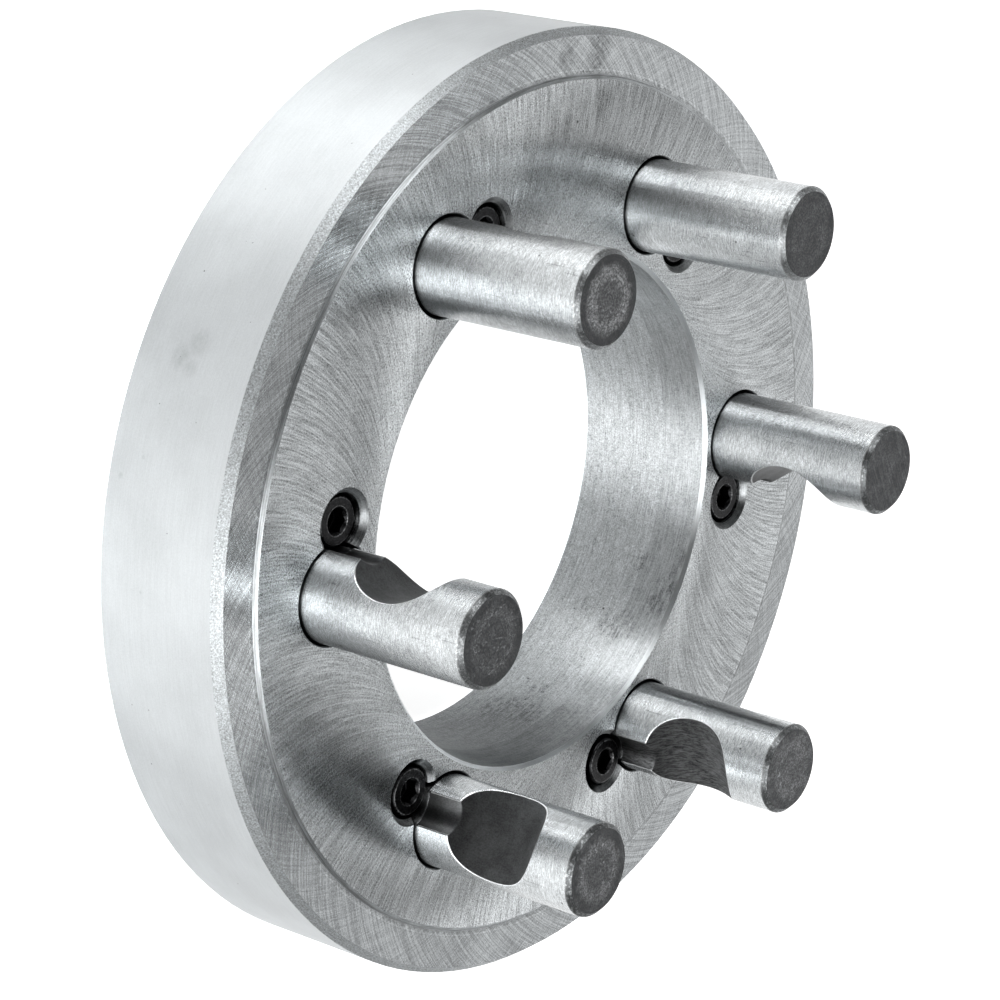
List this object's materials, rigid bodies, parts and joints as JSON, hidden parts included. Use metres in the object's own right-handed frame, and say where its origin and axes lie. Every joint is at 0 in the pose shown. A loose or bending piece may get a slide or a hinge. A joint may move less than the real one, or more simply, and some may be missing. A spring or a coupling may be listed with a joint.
{
  "type": "lathe chuck backplate",
  "caption": "Round steel backplate with camlock studs and a short taper bore, for fitting a chuck to a lathe spindle nose.",
  "frame": {"origin": "centre of the flat chuck side, on the spindle axis", "axes": "+Z along the spindle axis, from the chuck side towards the studs; camlock_stud_1 stands on +X"},
  "size_m": [0.253, 0.253, 0.0903],
  "materials": {
    "turned_steel": "turned and ground bare steel, with a granular rim chamfer",
    "ground_steel": "ground bright shank, dark milled notch, channel and end",
    "black_oxide_steel": "oiled black oxide"
  },
  "bodies": {
    "root": {"backplate": "turned_steel", "camlock_stud_1": "ground_steel", "camlock_stud_2": "ground_steel", "camlock_stud_3": "ground_steel", "camlock_stud_4": "ground_steel", "camlock_stud_5": "ground_steel", "camlock_stud_6": "ground_steel", "lock_screw_1": "black_oxide_steel", "lock_screw_2": "black_oxide_steel", "lock_screw_3": "black_oxide_steel", "lock_screw_4": "black_oxide_steel", "lock_screw_5": "black_oxide_steel", "lock_screw_6": "black_oxide_steel"}
  },
  "joints": []
}
